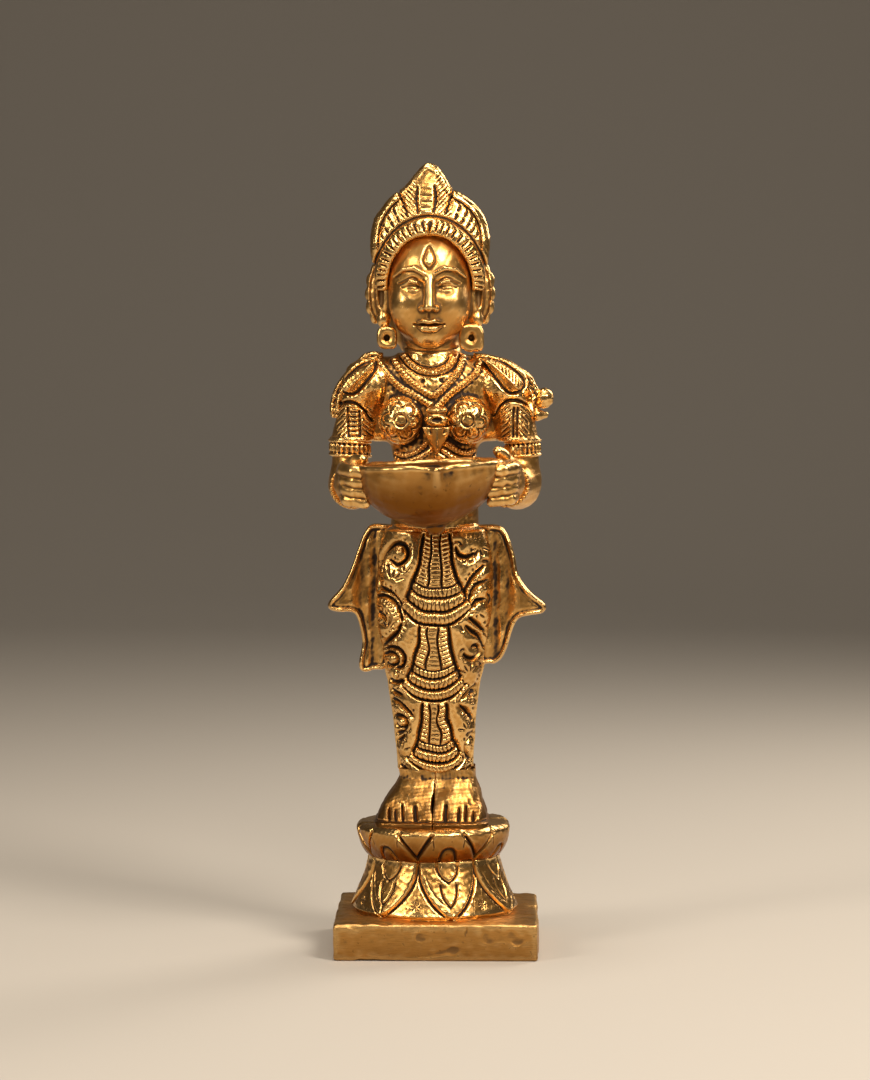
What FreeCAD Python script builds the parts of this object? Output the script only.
"""Standing brass lamp bearer: a woman in a court skirt who holds a shallow oil bowl, on a lotus and a plinth.

Frame: millimetres, +Z up, the figure faces -Y, origin at the middle of the plinth's resting face.
Left and right are the figure's own, so right pieces have negative X.
The castings stack on one tang that hangs from the skirt and is peened under the plinth. Torso, head, arms
and hands go together with spigots in sockets, and the thin castings are brazed to the pieces they touch.
"""

import FreeCAD
import Part
import math
import os
import re

import Sketcher

Vector = FreeCAD.Vector
Rotation = FreeCAD.Rotation

# Driving dimensions, in millimetres, as they stand in the document's spreadsheet.
SIZES = {
    # plinth and lotus
    "plinth_width": 51.4,
    "plinth_depth": 51.4,
    "plinth_height": 9.6,
    "plinth_edge": 0.8,
    "bell_height": 14.2,
    "bell_base_radius": 21.6,
    "bell_neck_radius": 16.9,
    "bell_lip": 1.4,
    "cup_height": 8.8,
    "cup_base_radius": 16.6,
    "cup_rim_radius": 19.8,
    "cup_rim_height": 1.5,
    # joints between the castings
    "fit_gap": 0.05,
    "tang_radius": 3.2,
    "rivet_radius": 5.2,
    "rivet_height": 2.0,
    "rivet_edge": 0.5,
    "waist_spigot_radius": 4.5,
    "waist_spigot_length": 7.0,
    "neck_spigot_radius": 3.4,
    "neck_spigot_length": 8.0,
    "arm_spigot_radius": 2.0,
    "arm_spigot_length": 5.0,
    # feet and skirt
    "foot_height": 12.2,
    "foot_length": 23.0,
    "foot_width": 14.2,
    "foot_forward": 4.2,
    "toe_height": 3.2,
    "ankle_width": 9.4,
    "ankle_depth": 14.5,
    "skirt_height": 65.6,
    "hem_width": 19.6,
    "hem_depth": 16.4,
    "calf_width": 23.4,
    "calf_depth": 18.6,
    "knee_width": 26.6,
    "knee_depth": 20.4,
    "thigh_width": 30.2,
    "thigh_depth": 22.4,
    "hip_width": 30.8,
    "hip_depth": 22.0,
    "waist_width": 23.6,
    "waist_depth": 18.0,
    # sash ends at the hips
    "sash_thickness": 3.4,
    "sash_top_gap": 1.0,
    "sash_span": 56.2,
    "sash_drop": 38.0,
    "sash_tip_drop": 21.5,
    # torso
    "torso_height": 43.6,
    "midriff_width": 19.8,
    "midriff_depth": 15.6,
    "rib_width": 28.4,
    "rib_depth": 18.6,
    "shoulder_width": 33.6,
    "shoulder_depth": 16.0,
    "nape_width": 20.0,
    "nape_depth": 13.0,
    "bust_radius": 6.0,
    "bust_spacing": 18.4,
    "bust_level": 27.0,
    # arms
    "arm_spacing": 43.4,
    "arm_back": 0.5,
    "arm_radius": 4.3,
    "arm_length": 11.4,
    "cap_radius": 8.4,
    "shoulder_drop": 1.6,
    "band_radius": 5.5,
    "band_height": 4.4,
    "elbow_radius": 5.3,
    "forearm_radius": 4.9,
    "bangle_radius": 5.9,
    "bangle_width": 2.4,
    "hand_width": 10.4,
    "hand_length": 13.6,
    "hand_height": 14.8,
    "hand_round": 3.8,
    "hand_offset": 0.7,
    "wrist_back": 1.0,
    # oil bowl
    "bowl_width": 37.0,
    "bowl_breadth": 28.4,
    "bowl_height": 16.0,
    "bowl_wall": 1.3,
    "bowl_reach": 25.0,
    "bowl_rim_level": 17.0,
    "bowl_foot_radius": 3.6,
    "bowl_foot_height": 1.2,
    "spout_width": 9.0,
    "spout_reach": 3.0,
    "spout_height": 9.0,
    # head
    "neck_radius": 6.3,
    "neck_height": 6.1,
    "chin_overlap": 3.5,
    "head_width": 22.4,
    "head_depth": 24.6,
    "head_height": 32.3,
    "ear_width": 6.4,
    "ear_depth": 7.0,
    "ear_height": 15.0,
    "ear_spacing": 26.0,
    "earring_radius": 1.9,
    "earring_wire": 0.9,
    # crown and hair
    "crown_width": 30.2,
    "crown_depth": 25.6,
    "crown_height": 31.6,
    "crown_back_tilt": 1.0,
    "window_drop": 2.0,
    "peak_width": 15.0,
    "peak_depth": 9.0,
    "peak_height": 8.6,
    "bun_width": 17.0,
    "bun_depth": 12.0,
    "bun_height": 16.0,
    # ornaments
    "pendant_width": 6.0,
    "pendant_height": 11.0,
    "pendant_thickness": 3.0,
    "leaf_width": 4.6,
    "leaf_length": 11.6,
    "leaf_thickness": 3.2,
    "shawl_width": 9.4,
    "shawl_thickness": 3.6,
    "shawl_drop": 15.4,
    "bud_width": 5.2,
    "bud_height": 8.2,
}

# Levels and places that follow from the driving dimensions. Each may use the ones above it.
DERIVED = {
    "bell_level": "plinth_height",
    "cup_level": "bell_level + bell_height",
    "deck_level": "cup_level + cup_height",
    "hem_level": "deck_level + foot_height",
    "waist_level": "hem_level + skirt_height",
    "nape_level": "waist_level + torso_height",
    "bust_height": "waist_level + bust_level",
    "shoulder_level": "nape_level - shoulder_drop - cap_radius",
    "shoulder_plane": "shoulder_width / 2",
    "arm_x": "arm_spacing / 2",
    "elbow_top": "shoulder_level - arm_length",
    "fold_radius": "shawl_thickness * 0.45",
    "band_level": "elbow_top - band_height",
    "rim_level": "waist_level + bowl_rim_level",
    "bowl_bottom": "rim_level - bowl_height",
    "forearm_level": "rim_level - bowl_height * 0.42",
    "hand_x": "bowl_width / 2 + hand_offset",
    "wrist_y": "-bowl_reach + hand_length / 2 - wrist_back",
    "sash_top": "waist_level - sash_top_gap",
    "hip_flank": "hip_width * 0.46",
    "chin_level": "nape_level + neck_height - chin_overlap",
    "head_level": "chin_level + head_height / 2",
    "ear_level": "head_level - head_height * 0.15",
    "crown_level": "head_level + head_height * 0.22",
    "crown_top": "crown_level + crown_height / 2",
    "crown_edge": "head_level - head_height * 0.04",
}

LEAF_TILT = 40.0
WINDOW_EASE = 1.06
BOWL_LEVELS = (0.96, 0.82, 0.6, 0.3, 0)
EGG_LEVELS = (-0.97, -0.8, -0.45, 0, 0.45, 0.8, 0.97)
BIG = 200.0  # half-spaces are boxes this large
PAST = 1.0  # cutters and spigots run this far past the face they cross
FEW = 1e-9

doc = FreeCAD.newDocument("lamp_bearer")
sheet = doc.addObject("Spreadsheet::Sheet", "sizes")
for row, (alias, value) in enumerate(SIZES.items(), start=1):
    sheet.set(f"A{row}", alias)
    sheet.set(f"B{row}", str(value))
    sheet.setAlias(f"B{row}", alias)
doc.recompute()

WORD = re.compile(r"[a-z_]+")


def formula(text):
    """Rewrites a formula over named sizes as an expression over the spreadsheet's cells."""

    def cell(found):
        name = found.group(0)
        if name in DERIVED:
            return "(" + formula(DERIVED[name]) + ")"
        return "sizes." + name if name in SIZES else name

    return WORD.sub(cell, str(text))


def number(text):
    """The value of a formula now, for a sketch's first guess."""
    values = {name: float(sheet.get(name)) for name in SIZES}

    def known(found):
        name = found.group(0)
        return "(" + spelled(DERIVED[name]) + ")" if name in DERIVED else str(values[name])

    def spelled(part):
        return WORD.sub(known, str(part))

    return FreeCAD.Units.Quantity(spelled(text)).Value


def bind(thing, **properties):
    """Binds properties to formulas. Double underscores stand for dots."""
    for name, text in properties.items():
        thing.setExpression(name.replace("__", "."), formula(text))
    return thing


def place(thing, x=0, y=0, z=0, turn=None):
    if turn is not None:
        thing.Placement = FreeCAD.Placement(Vector(), turn)
    return bind(thing, Placement__Base__x=x, Placement__Base__y=y, Placement__Base__z=z)


def primitive(kind, name, at, turn=None, **properties):
    """A Part primitive with its sizes and its place bound to formulas."""
    thing = doc.addObject(f"Part::{kind}", name)
    bind(thing, **properties)
    return place(thing, *at, turn=turn)


def cylinder(name, at, radius, height, turn=None):
    return primitive("Cylinder", name, at, turn, Radius=radius, Height=height)


def sphere(name, at, radius):
    return primitive("Sphere", name, at, Radius=radius)


def block(name, low, size):
    """A box from its lowest corner."""
    return primitive("Box", name, low, Length=size[0], Width=size[1], Height=size[2])


def joined(name, *pieces):
    fused = doc.addObject("Part::MultiFuse", name)
    fused.Shapes = list(pieces)
    fused.Refine = True
    return fused


def minus(name, base, *tools):
    """base with every tool taken away."""
    for step, tool in enumerate(tools):
        cut = doc.addObject("Part::Cut", f"{name}_{step}" if step < len(tools) - 1 else name)
        cut.Base = base
        cut.Tool = tool
        base = cut
    return base


def within(name, *pieces):
    common = doc.addObject("Part::MultiCommon", name)
    common.Shapes = list(pieces)
    return common


def oval(name, x, y, level, width, depth):
    """A level ellipse, as one section of a loft. Its longer axis may lie along X or Y."""
    curve = doc.addObject("Part::Ellipse", name)
    across = number(width) >= number(depth)
    longer, shorter = (width, depth) if across else (depth, width)
    bind(curve, MajorRadius=f"({longer}) / 2", MinorRadius=f"({shorter}) / 2")
    turn = Rotation() if across else Rotation(Vector(0, 0, 1), 90)
    return place(curve, x, y, level, turn=turn)


def loft(name, sections, straight=False):
    """A solid through level ovals, each (x, y, level, width, depth)."""
    skin = doc.addObject("Part::Loft", name)
    skin.Sections = [oval(f"{name}_section_{i}", *section) for i, section in enumerate(sections)]
    skin.Solid = True
    skin.Ruled = straight
    return skin


def egg(name, at, width, depth, height):
    """A rounded solid of three different sizes, with small flat ends above and below."""
    x, y, level = at
    sections = []
    for share in EGG_LEVELS:
        round_share = math.sqrt(1 - share * share)
        own_level = f"{level} + ({height}) / 2 * {share}"
        sections.append((x, y, own_level, f"({width}) * {round_share:.4f}", f"({depth}) * {round_share:.4f}"))
    return loft(name, sections)


def origin_plane(body, role):
    return next(f for f in body.Origin.OriginFeatures if f.Role == role)


def outline(body, role, corners, name):
    """A closed sketch on one of a body's origin planes, its corners held by named dimensions."""
    sketch = body.newObject("Sketcher::SketchObject", name)
    sketch.AttachmentSupport = [(origin_plane(body, role), "")]
    sketch.MapMode = "FlatFace"
    points = [Vector(number(u), number(v), 0) for u, v in corners]
    count = len(points)
    for i in range(count):
        sketch.addGeometry(Part.LineSegment(points[i], points[(i + 1) % count]), False)
    for i in range(count):
        sketch.addConstraint(Sketcher.Constraint("Coincident", i, 2, (i + 1) % count, 1))
    for i, (u, v) in enumerate(corners):
        for kind, text in (("DistanceX", u), ("DistanceY", v)):
            held = sketch.addConstraint(Sketcher.Constraint(kind, -1, 1, i, 1, number(text)))
            if text in (0, "0"):
                continue
            label = f"corner_{i}_{kind[-1].lower()}"
            sketch.renameConstraint(held, label)
            sketch.setExpression(f".Constraints.{label}", formula(text))
    return sketch


def turned(name, profile):
    """A body turned about Z from a half profile of (radius, level) corners."""
    body = doc.addObject("PartDesign::Body", name)
    sketch = outline(body, "XZ_Plane", profile, f"{name}_profile")
    spin = body.newObject("PartDesign::Revolution", f"{name}_turning")
    spin.Profile = sketch
    spin.ReferenceAxis = (sketch, ["V_Axis"])
    spin.Angle = 360
    doc.recompute()
    return body


def pebble(name, low, size, radius):
    """A block with all its edges rounded, from its lowest corner."""
    body = doc.addObject("PartDesign::Body", name)
    core = body.newObject("PartDesign::AdditiveBox", f"{name}_core")
    bind(core, Length=size[0], Width=size[1], Height=size[2])
    doc.recompute()
    soften = body.newObject("PartDesign::Fillet", f"{name}_round")
    soften.Base = (core, [f"Edge{i + 1}" for i in range(len(core.Shape.Edges))])
    bind(soften, Radius=radius)
    doc.recompute()
    return place(body, *low)


def plate(name, corners, thickness):
    """A body padded evenly to both sides of the XZ plane."""
    body = doc.addObject("PartDesign::Body", name)
    sketch = outline(body, "XZ_Plane", corners, f"{name}_outline")
    pad = body.newObject("PartDesign::Pad", f"{name}_pad")
    pad.Profile = sketch
    pad.Midplane = True
    bind(pad, Length=thickness)
    doc.recompute()
    return body


NODES = {}


def finished(label, thing):
    """Registers a sub-part under the name that its file takes."""
    thing.Label = label
    NODES[label] = thing
    return thing


ALONG_MINUS_Y = Rotation(Vector(1, 0, 0), 90)
ALONG_X = Rotation(Vector(0, 1, 0), 90)
SIDES = {"right": -1, "left": 1}

# ---------------------------------------------------------------- base


def tang(name, low, gap):
    """The turned shank under the figure with its peened head, or with a gap all round, the hole for it."""
    profile = [
        (0, low),
        (f"rivet_radius + {gap}", low),
        (f"rivet_radius + {gap}", "rivet_edge"),
        (f"tang_radius + {gap}", "rivet_edge + rivet_height"),
        (f"tang_radius + {gap}", "hem_level"),
        (0, "hem_level"),
    ]
    return turned(name, profile)


hole = tang("tang_hole", f"-{PAST}", "fit_gap")


def plinth():
    body = doc.addObject("PartDesign::Body", "plinth_body")
    half_width = "plinth_width / 2"
    half_depth = "plinth_depth / 2"
    corners = [
        (f"-{half_width}", f"-{half_depth}"),
        (half_width, f"-{half_depth}"),
        (half_width, half_depth),
        (f"-{half_width}", half_depth),
    ]
    sketch = outline(body, "XY_Plane", corners, "plinth_outline")
    pad = body.newObject("PartDesign::Pad", "plinth_pad")
    pad.Profile = sketch
    bind(pad, Length="plinth_height")
    doc.recompute()
    edges = []
    for i, edge in enumerate(pad.Shape.Edges, start=1):
        centre = edge.CenterOfMass
        upright = abs(centre.z - pad.Shape.BoundBox.Center.z) < 0.01
        top = abs(centre.z - pad.Shape.BoundBox.ZMax) < 0.01
        if upright or top:
            edges.append(f"Edge{i}")
    soften = body.newObject("PartDesign::Fillet", "plinth_soft_edges")
    soften.Base = (pad, edges)
    bind(soften, Radius="plinth_edge")
    doc.recompute()
    return finished("plinth", minus("plinth_drilled", body, hole))


def lotus():
    bell_flare = "(bell_base_radius - bell_neck_radius)"
    cup_flare = "(cup_rim_radius - cup_base_radius)"
    bell = turned(
        "bell_body",
        [
            (0, "bell_level"),
            ("bell_base_radius", "bell_level"),
            ("bell_base_radius", "bell_level + bell_lip"),
            (f"bell_neck_radius + {bell_flare} * 0.52", "bell_level + bell_height * 0.42"),
            (f"bell_neck_radius + {bell_flare} * 0.18", "bell_level + bell_height * 0.72"),
            ("bell_neck_radius", "cup_level"),
            (0, "cup_level"),
        ],
    )
    finished("lotus_bell", minus("bell_drilled", bell, hole))
    cup = turned(
        "cup_body",
        [
            (0, "cup_level"),
            ("cup_base_radius", "cup_level"),
            (f"cup_base_radius + {cup_flare} * 0.72", "cup_level + cup_height * 0.5"),
            ("cup_rim_radius", "deck_level - cup_rim_height"),
            ("cup_rim_radius", "deck_level - cup_rim_height / 3"),
            ("cup_rim_radius - cup_rim_height / 3", "deck_level"),
            (0, "deck_level"),
        ],
    )
    finished("lotus_cup", minus("cup_drilled", cup, hole))


def foot(side):
    sign = SIDES[side]
    at = f"{sign} * foot_width / 2"
    ankle = f"{sign} * ankle_width / 2"
    sole_top = "deck_level + toe_height"
    blank = loft(
        f"{side}_foot_blank",
        [
            (at, "-foot_forward", "deck_level", "foot_width", "foot_length"),
            (at, "-foot_forward", sole_top, "foot_width", "foot_length"),
            (ankle, "0", "hem_level", "ankle_width", "ankle_depth"),
        ],
        straight=True,
    )
    low = "fit_gap / 2" if sign > 0 else f"-{BIG} - fit_gap / 2"
    own_side = block(f"{side}_foot_side", (low, -BIG / 2, 0), (BIG, BIG, BIG))
    bored = minus(f"{side}_foot_bored", blank, hole)
    return finished(f"{side}_foot", within(f"{side}_foot_half", bored, own_side))


# ---------------------------------------------------------------- skirt and sash


def skirt():
    def at(share):
        return f"hem_level + skirt_height * {share}"

    skin = loft(
        "skirt_blank",
        [
            (0, 0, at(0), "hem_width", "hem_depth"),
            (0, 0, at(0.28), "calf_width", "calf_depth"),
            (0, 0, at(0.46), "knee_width", "knee_depth"),
            (0, 0, at(0.7), "thigh_width", "thigh_depth"),
            (0, 0, at(0.88), "hip_width", "hip_depth"),
            (0, 0, at(1), "waist_width", "waist_depth"),
        ],
    )
    shank = tang("tang_shank", 0, "0")
    spigot_height = "waist_spigot_length - fit_gap"
    spigot = cylinder("waist_spigot", (0, 0, "waist_level"), "waist_spigot_radius", spigot_height)
    finished("skirt", joined("skirt_with_tang", skin, shank, spigot))
    return skin


def sash(side, skin):
    """A thin flared cloth end that stands off the hip, with a long point beside the knee."""
    sign = SIDES[side]

    def corner(out, drop):
        """out is a share of the way from the hip's flank to the tip, drop a share of the sash's length."""
        return (f"{sign} * (hip_flank + (sash_span / 2 - hip_flank) * {out})", f"sash_top - ({drop})")

    corners = [
        (f"{sign} * waist_width * 0.36", "sash_top"),
        corner(0.3, "0"),
        corner(0.68, "sash_tip_drop * 0.68"),
        corner(1, "sash_tip_drop - 0.6"),
        corner(0.96, "sash_tip_drop + 1.2"),
        corner(0.43, "sash_tip_drop + 1.4"),
        corner(0.35, "sash_tip_drop + (sash_drop - sash_tip_drop) * 0.34"),
        corner(0.4, "sash_drop - 1.8"),
        corner(0.33, "sash_drop"),
        corner(0.1, "sash_drop - 0.4"),
        (f"{sign} * knee_width * 0.36", "sash_top - sash_drop * 0.9"),
    ]
    wing = plate(f"{side}_sash_blank", corners, "sash_thickness")
    return finished(f"{side}_sash", minus(f"{side}_sash_fitted", wing, skin))


# ---------------------------------------------------------------- torso


def torso():
    def at(share):
        return f"waist_level + torso_height * {share}"

    trunk = loft(
        "torso_trunk",
        [
            (0, 0, at(0), "waist_width", "waist_depth"),
            (0, 0, at(0.2), "midriff_width", "midriff_depth"),
            (0, 0, at(0.36), "midriff_width * 1.1", "midriff_depth"),
            (0, 0, at(0.52), "rib_width", "rib_depth"),
            (0, 0, at(0.76), "rib_width", "rib_depth * 0.95"),
            (0, 0, at(1), "nape_width", "nape_depth"),
        ],
    )
    yoke = cylinder(
        "torso_yoke",
        (f"-shoulder_plane - {PAST}", 0, "shoulder_level"),
        "shoulder_depth / 2",
        f"shoulder_width + 2 * {PAST}",
        turn=ALONG_X,
    )
    busts = []
    for side, sign in SIDES.items():
        middle = (f"{sign} * bust_spacing / 2", "-rib_depth * 0.42", "bust_height")
        busts.append(sphere(f"{side}_bust", middle, "bust_radius"))
    slab = block(
        "torso_slab",
        ("-shoulder_plane", -BIG / 2, "waist_level"),
        ("shoulder_width", BIG, "torso_height"),
    )
    solid = within("torso_trimmed", joined("torso_blank", trunk, yoke, *busts), slab)
    waist_socket = cylinder(
        "waist_socket",
        (0, 0, f"waist_level - {PAST}"),
        "waist_spigot_radius + fit_gap",
        f"waist_spigot_length + {PAST}",
    )
    neck_socket = cylinder(
        "neck_socket",
        (0, 0, "nape_level - neck_spigot_length"),
        "neck_spigot_radius + fit_gap",
        f"neck_spigot_length + {PAST}",
    )
    arm_sockets = cylinder(
        "arm_sockets",
        (f"-shoulder_plane - {PAST}", 0, "shoulder_level"),
        "arm_spigot_radius + fit_gap",
        f"shoulder_width + 2 * {PAST}",
        turn=ALONG_X,
    )
    core = block(
        "arm_socket_core",
        ("-shoulder_plane + arm_spigot_length", -BIG / 2, "shoulder_level - cap_radius"),
        ("shoulder_width - 2 * arm_spigot_length", BIG, "cap_radius * 2"),
    )
    blind_sockets = minus("blind_arm_sockets", arm_sockets, core)
    return finished("torso", minus("torso_bored", solid, waist_socket, neck_socket, blind_sockets))


# ---------------------------------------------------------------- arms


def upper_arm(side):
    sign = SIDES[side]
    cap_x = f"{sign} * (arm_x - arm_radius / 2)"
    cap = sphere(f"{side}_cap", (cap_x, "arm_back", "shoulder_level"), "cap_radius")
    sleeve_end = (f"{sign} * arm_x", "arm_back", "elbow_top")
    sleeve = cylinder(f"{side}_sleeve", sleeve_end, "arm_radius", "arm_length")
    low = "shoulder_plane" if sign > 0 else f"-{BIG} - shoulder_plane"
    outside = block(f"{side}_arm_side", (low, -BIG / 2, "elbow_top"), (BIG, BIG, BIG))
    arm = within(f"{side}_arm_trimmed", joined(f"{side}_arm_blank", cap, sleeve), outside)
    start = "shoulder_plane - arm_spigot_length + fit_gap" if sign > 0 else f"-shoulder_plane - {PAST}"
    spigot = cylinder(
        f"{side}_arm_spigot",
        (start, 0, "shoulder_level"),
        "arm_spigot_radius",
        f"arm_spigot_length + {PAST} - fit_gap",
        turn=ALONG_X,
    )
    socket = cylinder(
        f"{side}_elbow_socket",
        (f"{sign} * arm_x", "arm_back", f"elbow_top - {PAST}"),
        "arm_spigot_radius + fit_gap",
        f"arm_spigot_length + {PAST}",
    )
    with_spigot = joined(f"{side}_arm_with_spigot", arm, spigot)
    return finished(f"{side}_upper_arm", minus(f"{side}_arm_bored", with_spigot, socket))


def elbow_band(side):
    sign = SIDES[side]
    low = (f"{sign} * arm_x", "arm_back", "band_level")
    ring = cylinder(f"{side}_band_blank", low, "band_radius", "band_height")
    bore = cylinder(
        f"{side}_band_bore",
        (f"{sign} * arm_x", "arm_back", f"band_level - {PAST}"),
        "arm_spigot_radius + fit_gap",
        f"band_height + 2 * {PAST}",
    )
    return finished(f"{side}_elbow_band", minus(f"{side}_band_bored", ring, bore))


def forearm(side, bowl_block):
    """The elbow and the forearm, which runs forward and a little inward to the wrist, clear of the bowl."""
    sign = SIDES[side]
    elbow = sphere(f"{side}_elbow", (f"{sign} * arm_x", "arm_back", "forearm_level"), "elbow_radius")
    riser = cylinder(
        f"{side}_riser",
        (f"{sign} * arm_x", "arm_back", "forearm_level"),
        "elbow_radius * 0.94",
        "band_level - forearm_level",
    )
    reach = cylinder(
        f"{side}_reach",
        (f"{sign} * (arm_x + hand_x) / 2", "arm_back", "forearm_level"),
        "forearm_radius",
        "arm_back - wrist_y - bangle_width",
        turn=ALONG_MINUS_Y,
    )
    arm = joined(f"{side}_forearm_blank", elbow, riser, reach)
    spigot = cylinder(
        f"{side}_elbow_spigot",
        (f"{sign} * arm_x", "arm_back", "forearm_level"),
        "arm_spigot_radius",
        "elbow_top + arm_spigot_length - forearm_level - fit_gap",
    )
    socket = cylinder(
        f"{side}_wrist_socket",
        (f"{sign} * hand_x", "wrist_y + bangle_width + arm_spigot_length", "forearm_level"),
        "arm_spigot_radius + fit_gap",
        f"arm_spigot_length + bangle_width + {PAST}",
        turn=ALONG_MINUS_Y,
    )
    with_spigot = joined(f"{side}_forearm_with_spigot", arm, spigot)
    return finished(f"{side}_forearm", minus(f"{side}_forearm_bored", with_spigot, socket, bowl_block))


def wrist_bangle(side, bowl_block):
    sign = SIDES[side]
    ring = cylinder(
        f"{side}_bangle_blank",
        (f"{sign} * hand_x", "wrist_y + bangle_width", "forearm_level"),
        "bangle_radius",
        "bangle_width",
        turn=ALONG_MINUS_Y,
    )
    bore = cylinder(
        f"{side}_bangle_bore",
        (f"{sign} * hand_x", f"wrist_y + bangle_width + {PAST}", "forearm_level"),
        "arm_spigot_radius + fit_gap",
        f"bangle_width + 2 * {PAST}",
        turn=ALONG_MINUS_Y,
    )
    return finished(f"{side}_wrist_bangle", minus(f"{side}_bangle_bored", ring, bore, bowl_block))


def hand(side, bowl_block):
    sign = SIDES[side]
    fist = pebble(
        f"{side}_palm",
        (f"{sign} * hand_x - hand_width / 2", "wrist_y - hand_length", "forearm_level - hand_height / 2"),
        ("hand_width", "hand_length", "hand_height"),
        "hand_round",
    )
    spigot = cylinder(
        f"{side}_wrist_spigot",
        (f"{sign} * hand_x", "wrist_y + bangle_width + arm_spigot_length - fit_gap", "forearm_level"),
        "arm_spigot_radius",
        f"arm_spigot_length + bangle_width + {PAST}",
        turn=ALONG_MINUS_Y,
    )
    with_spigot = joined(f"{side}_hand_with_spigot", fist, spigot)
    return finished(f"{side}_hand", minus(f"{side}_hand_fitted", with_spigot, bowl_block))


# ---------------------------------------------------------------- oil bowl


def bowl():
    """The shallow oil bowl with its pinched wick lip in front. Returns the block that the hands close on."""

    def dish(name, wall, top):
        """The bowl's round, thinner by one wall all over, up to a little above the rim if top is set."""
        depth = f"(bowl_height - bowl_foot_height - {wall})"
        sections = []
        for share in BOWL_LEVELS:
            round_share = math.sqrt(1 - share * share)
            sections.append(
                (
                    0,
                    "-bowl_reach",
                    f"rim_level - {depth} * {share}",
                    f"(bowl_width - 2 * {wall}) * {round_share:.4f}",
                    f"(bowl_breadth - 2 * {wall}) * {round_share:.4f}",
                )
            )
        sections[-1] = (0, "-bowl_reach", f"rim_level + {top}", *sections[-1][3:])
        main = loft(name, sections)
        lip_y = "-bowl_reach - bowl_breadth / 2 + spout_width / 2 - spout_reach"
        lip_width = f"spout_width - 2 * {wall}"
        throat_level = f"rim_level - spout_height + {wall}"
        throat = (0, f"{lip_y} + spout_width / 2", throat_level, "spout_width / 3", "spout_width / 3")
        mouth = (0, lip_y, f"rim_level + {top}", lip_width, lip_width)
        lip = loft(f"{name}_lip", [throat, mouth], straight=True)
        return joined(f"{name}_with_lip", main, lip)

    outer = dish("bowl_outer", "0", "0")
    inner = dish("bowl_inner", "bowl_wall", PAST)
    under = (0, "-bowl_reach", "bowl_bottom")
    foot_disc = cylinder("bowl_foot", under, "bowl_foot_radius", "bowl_height / 2")
    solid = joined("bowl_block", outer, foot_disc)
    finished("oil_bowl", minus("bowl_hollowed", solid, inner))
    return solid


# ---------------------------------------------------------------- head


def head():
    neck = cylinder("neck", (0, 0, "nape_level"), "neck_radius", "neck_height + 4")
    spigot = cylinder(
        "neck_spigot",
        (0, 0, "nape_level - neck_spigot_length + fit_gap"),
        "neck_spigot_radius",
        f"neck_spigot_length + {PAST}",
    )
    skull = egg("skull", (0, -1, "head_level"), "head_width", "head_depth", "head_height")
    ears = []
    for side, sign in SIDES.items():
        middle = (f"{sign} * ear_spacing / 2", 0, "ear_level")
        ears.append(egg(f"{side}_ear", middle, "ear_width", "ear_depth", "ear_height"))
    return finished("head", joined("head_with_neck", neck, spigot, skull, *ears))


def crown(face):
    middle = (0, "crown_back_tilt", "crown_level")
    fan = egg("crown_fan", middle, "crown_width", "crown_depth", "crown_height")
    peak = egg(
        "crown_peak",
        (0, "-crown_back_tilt", "crown_top - peak_height / 4"),
        "peak_width",
        "peak_depth",
        "peak_height * 2.5",
    )
    window = egg(
        "face_window",
        (0, "-head_depth", "head_level - window_drop"),
        f"head_width * {WINDOW_EASE}",
        "head_depth * 2",
        f"head_height * {WINDOW_EASE}",
    )
    skirt_of_crown = block("under_crown", (-BIG / 2, -BIG / 2, 0), (BIG, BIG, "crown_edge"))
    blank = joined("crown_blank", fan, peak)
    return finished("crown", minus("crown_fitted", blank, face, window, skirt_of_crown))


def hair_bun(face):
    """The knot of hair behind the head, cut flat under the crown's edge and hollowed to the head."""
    bun = egg("bun", (0, "head_depth / 2 - 2", "ear_level - 1"), "bun_width", "bun_depth", "bun_height")
    over_edge = block("over_crown_edge", (-BIG / 2, -BIG / 2, "crown_edge"), (BIG, BIG, BIG))
    return finished("hair_bun", minus("bun_fitted", bun, over_edge, face))


def earring(side, face, trunk, arm):
    sign = SIDES[side]
    ring = primitive(
        "Torus",
        f"{side}_earring_blank",
        (
            f"{sign} * ear_spacing / 2",
            "-1",
            "ear_level - ear_height / 2 - earring_radius - earring_wire + 0.8",
        ),
        turn=ALONG_MINUS_Y,
        Radius1="earring_radius",
        Radius2="earring_wire",
    )
    ring.Angle1 = -180
    ring.Angle2 = 180
    ring.Angle3 = 360
    return finished(f"{side}_earring", minus(f"{side}_earring_fitted", ring, face, trunk, arm))


# ---------------------------------------------------------------- ornaments


def pendant(trunk):
    kite = plate(
        "pendant_blank",
        [
            ("-pendant_width * 0.34", "bust_height + pendant_height * 0.46"),
            ("pendant_width * 0.34", "bust_height + pendant_height * 0.46"),
            ("pendant_width / 2", "bust_height"),
            (0, "bust_height - pendant_height * 0.54"),
            ("-pendant_width / 2", "bust_height"),
        ],
        "rib_depth + 2 * pendant_thickness",
    )
    front = block("pendant_front", (-BIG / 2, -BIG, 0), (BIG, BIG, BIG * 2))
    return finished("pendant", minus("pendant_fitted", within("pendant_half", kite, front), trunk))


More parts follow.
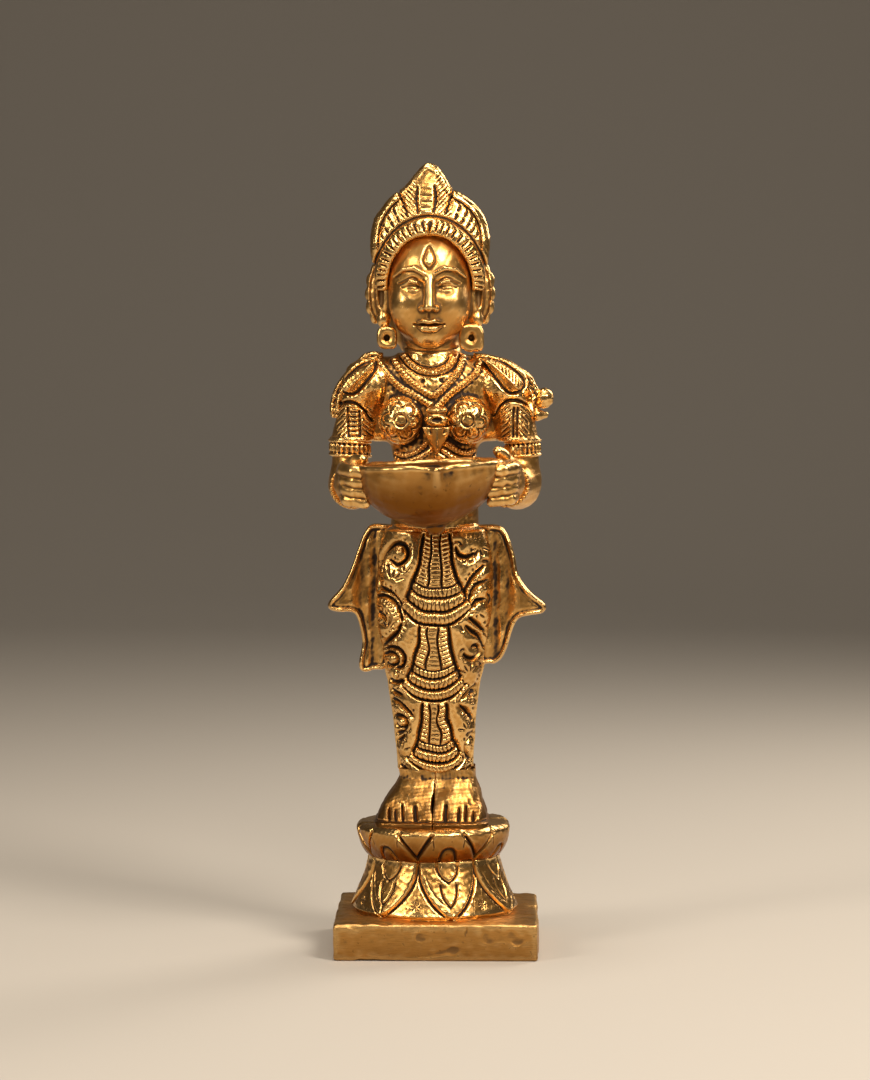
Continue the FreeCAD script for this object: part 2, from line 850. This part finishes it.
def shoulder_leaf(side, trunk, arm):
    sign = SIDES[side]
    leaf = plate(
        f"{side}_leaf_blank",
        [("leaf_width / 2", 0), (0, "leaf_length / 2"), ("-leaf_width / 2", 0), (0, "-leaf_length / 2")],
        "leaf_thickness",
    )
    at = (f"{sign} * (arm_x - arm_radius * 0.8)", "-cap_radius * 0.72", "shoulder_level + cap_radius * 0.5")
    place(leaf, *at, turn=Rotation(Vector(0, 1, 0), sign * LEAF_TILT))
    return finished(f"{side}_shoulder_leaf", minus(f"{side}_leaf_fitted", leaf, trunk, arm))


def shawl_end(side, trunk, arm):
    sign = SIDES[side]
    fold = pebble(
        f"{side}_shawl_blank",
        (f"{sign} * (arm_x + 1.4) - shawl_width / 2", "cap_radius * 0.5", "shoulder_level - shawl_drop / 2"),
        ("shawl_width", "shawl_thickness", "shawl_drop"),
        "fold_radius",
    )
    return finished(f"{side}_shawl_end", minus(f"{side}_shawl_fitted", fold, trunk, arm))


def shoulder_bud(arm, fold):
    bud = egg(
        "bud_blank",
        ("arm_x - arm_radius / 2 + cap_radius + bud_width * 0.2", 1.5, "shoulder_level - bud_height * 0.28"),
        "bud_width",
        "bud_width",
        "bud_height",
    )
    return finished("shoulder_bud", minus("bud_fitted", bud, arm, fold))


def build():
    plinth()
    lotus()
    for side in SIDES:
        foot(side)
    skin = skirt()
    for side in SIDES:
        sash(side, skin)
    trunk = torso()
    bowl_block = bowl()
    face = head()
    crown(face)
    hair_bun(face)
    pendant(trunk)
    for side in SIDES:
        arm = upper_arm(side)
        elbow_band(side)
        forearm(side, bowl_block)
        wrist_bangle(side, bowl_block)
        hand(side, bowl_block)
        earring(side, face, trunk, arm)
        shoulder_leaf(side, trunk, arm)
        fold = shawl_end(side, trunk, arm)
        if side == "left":
            shoulder_bud(arm, fold)


def check_and_write():
    doc.recompute()
    failed = [o.Name for o in doc.Objects if "Invalid" in o.State or "Error" in o.State]
    if failed:
        raise RuntimeError(f"these features failed: {failed}")
    for label, thing in NODES.items():
        shape = thing.Shape
        if shape.isNull() or not shape.isValid() or not shape.Solids or shape.Volume < FEW:
            raise RuntimeError(f"{label} isn't a valid solid")
    os.makedirs("parts", exist_ok=True)
    for label, thing in NODES.items():
        thing.Shape.exportStep(f"parts/{label}.step")


build()
check_and_write()
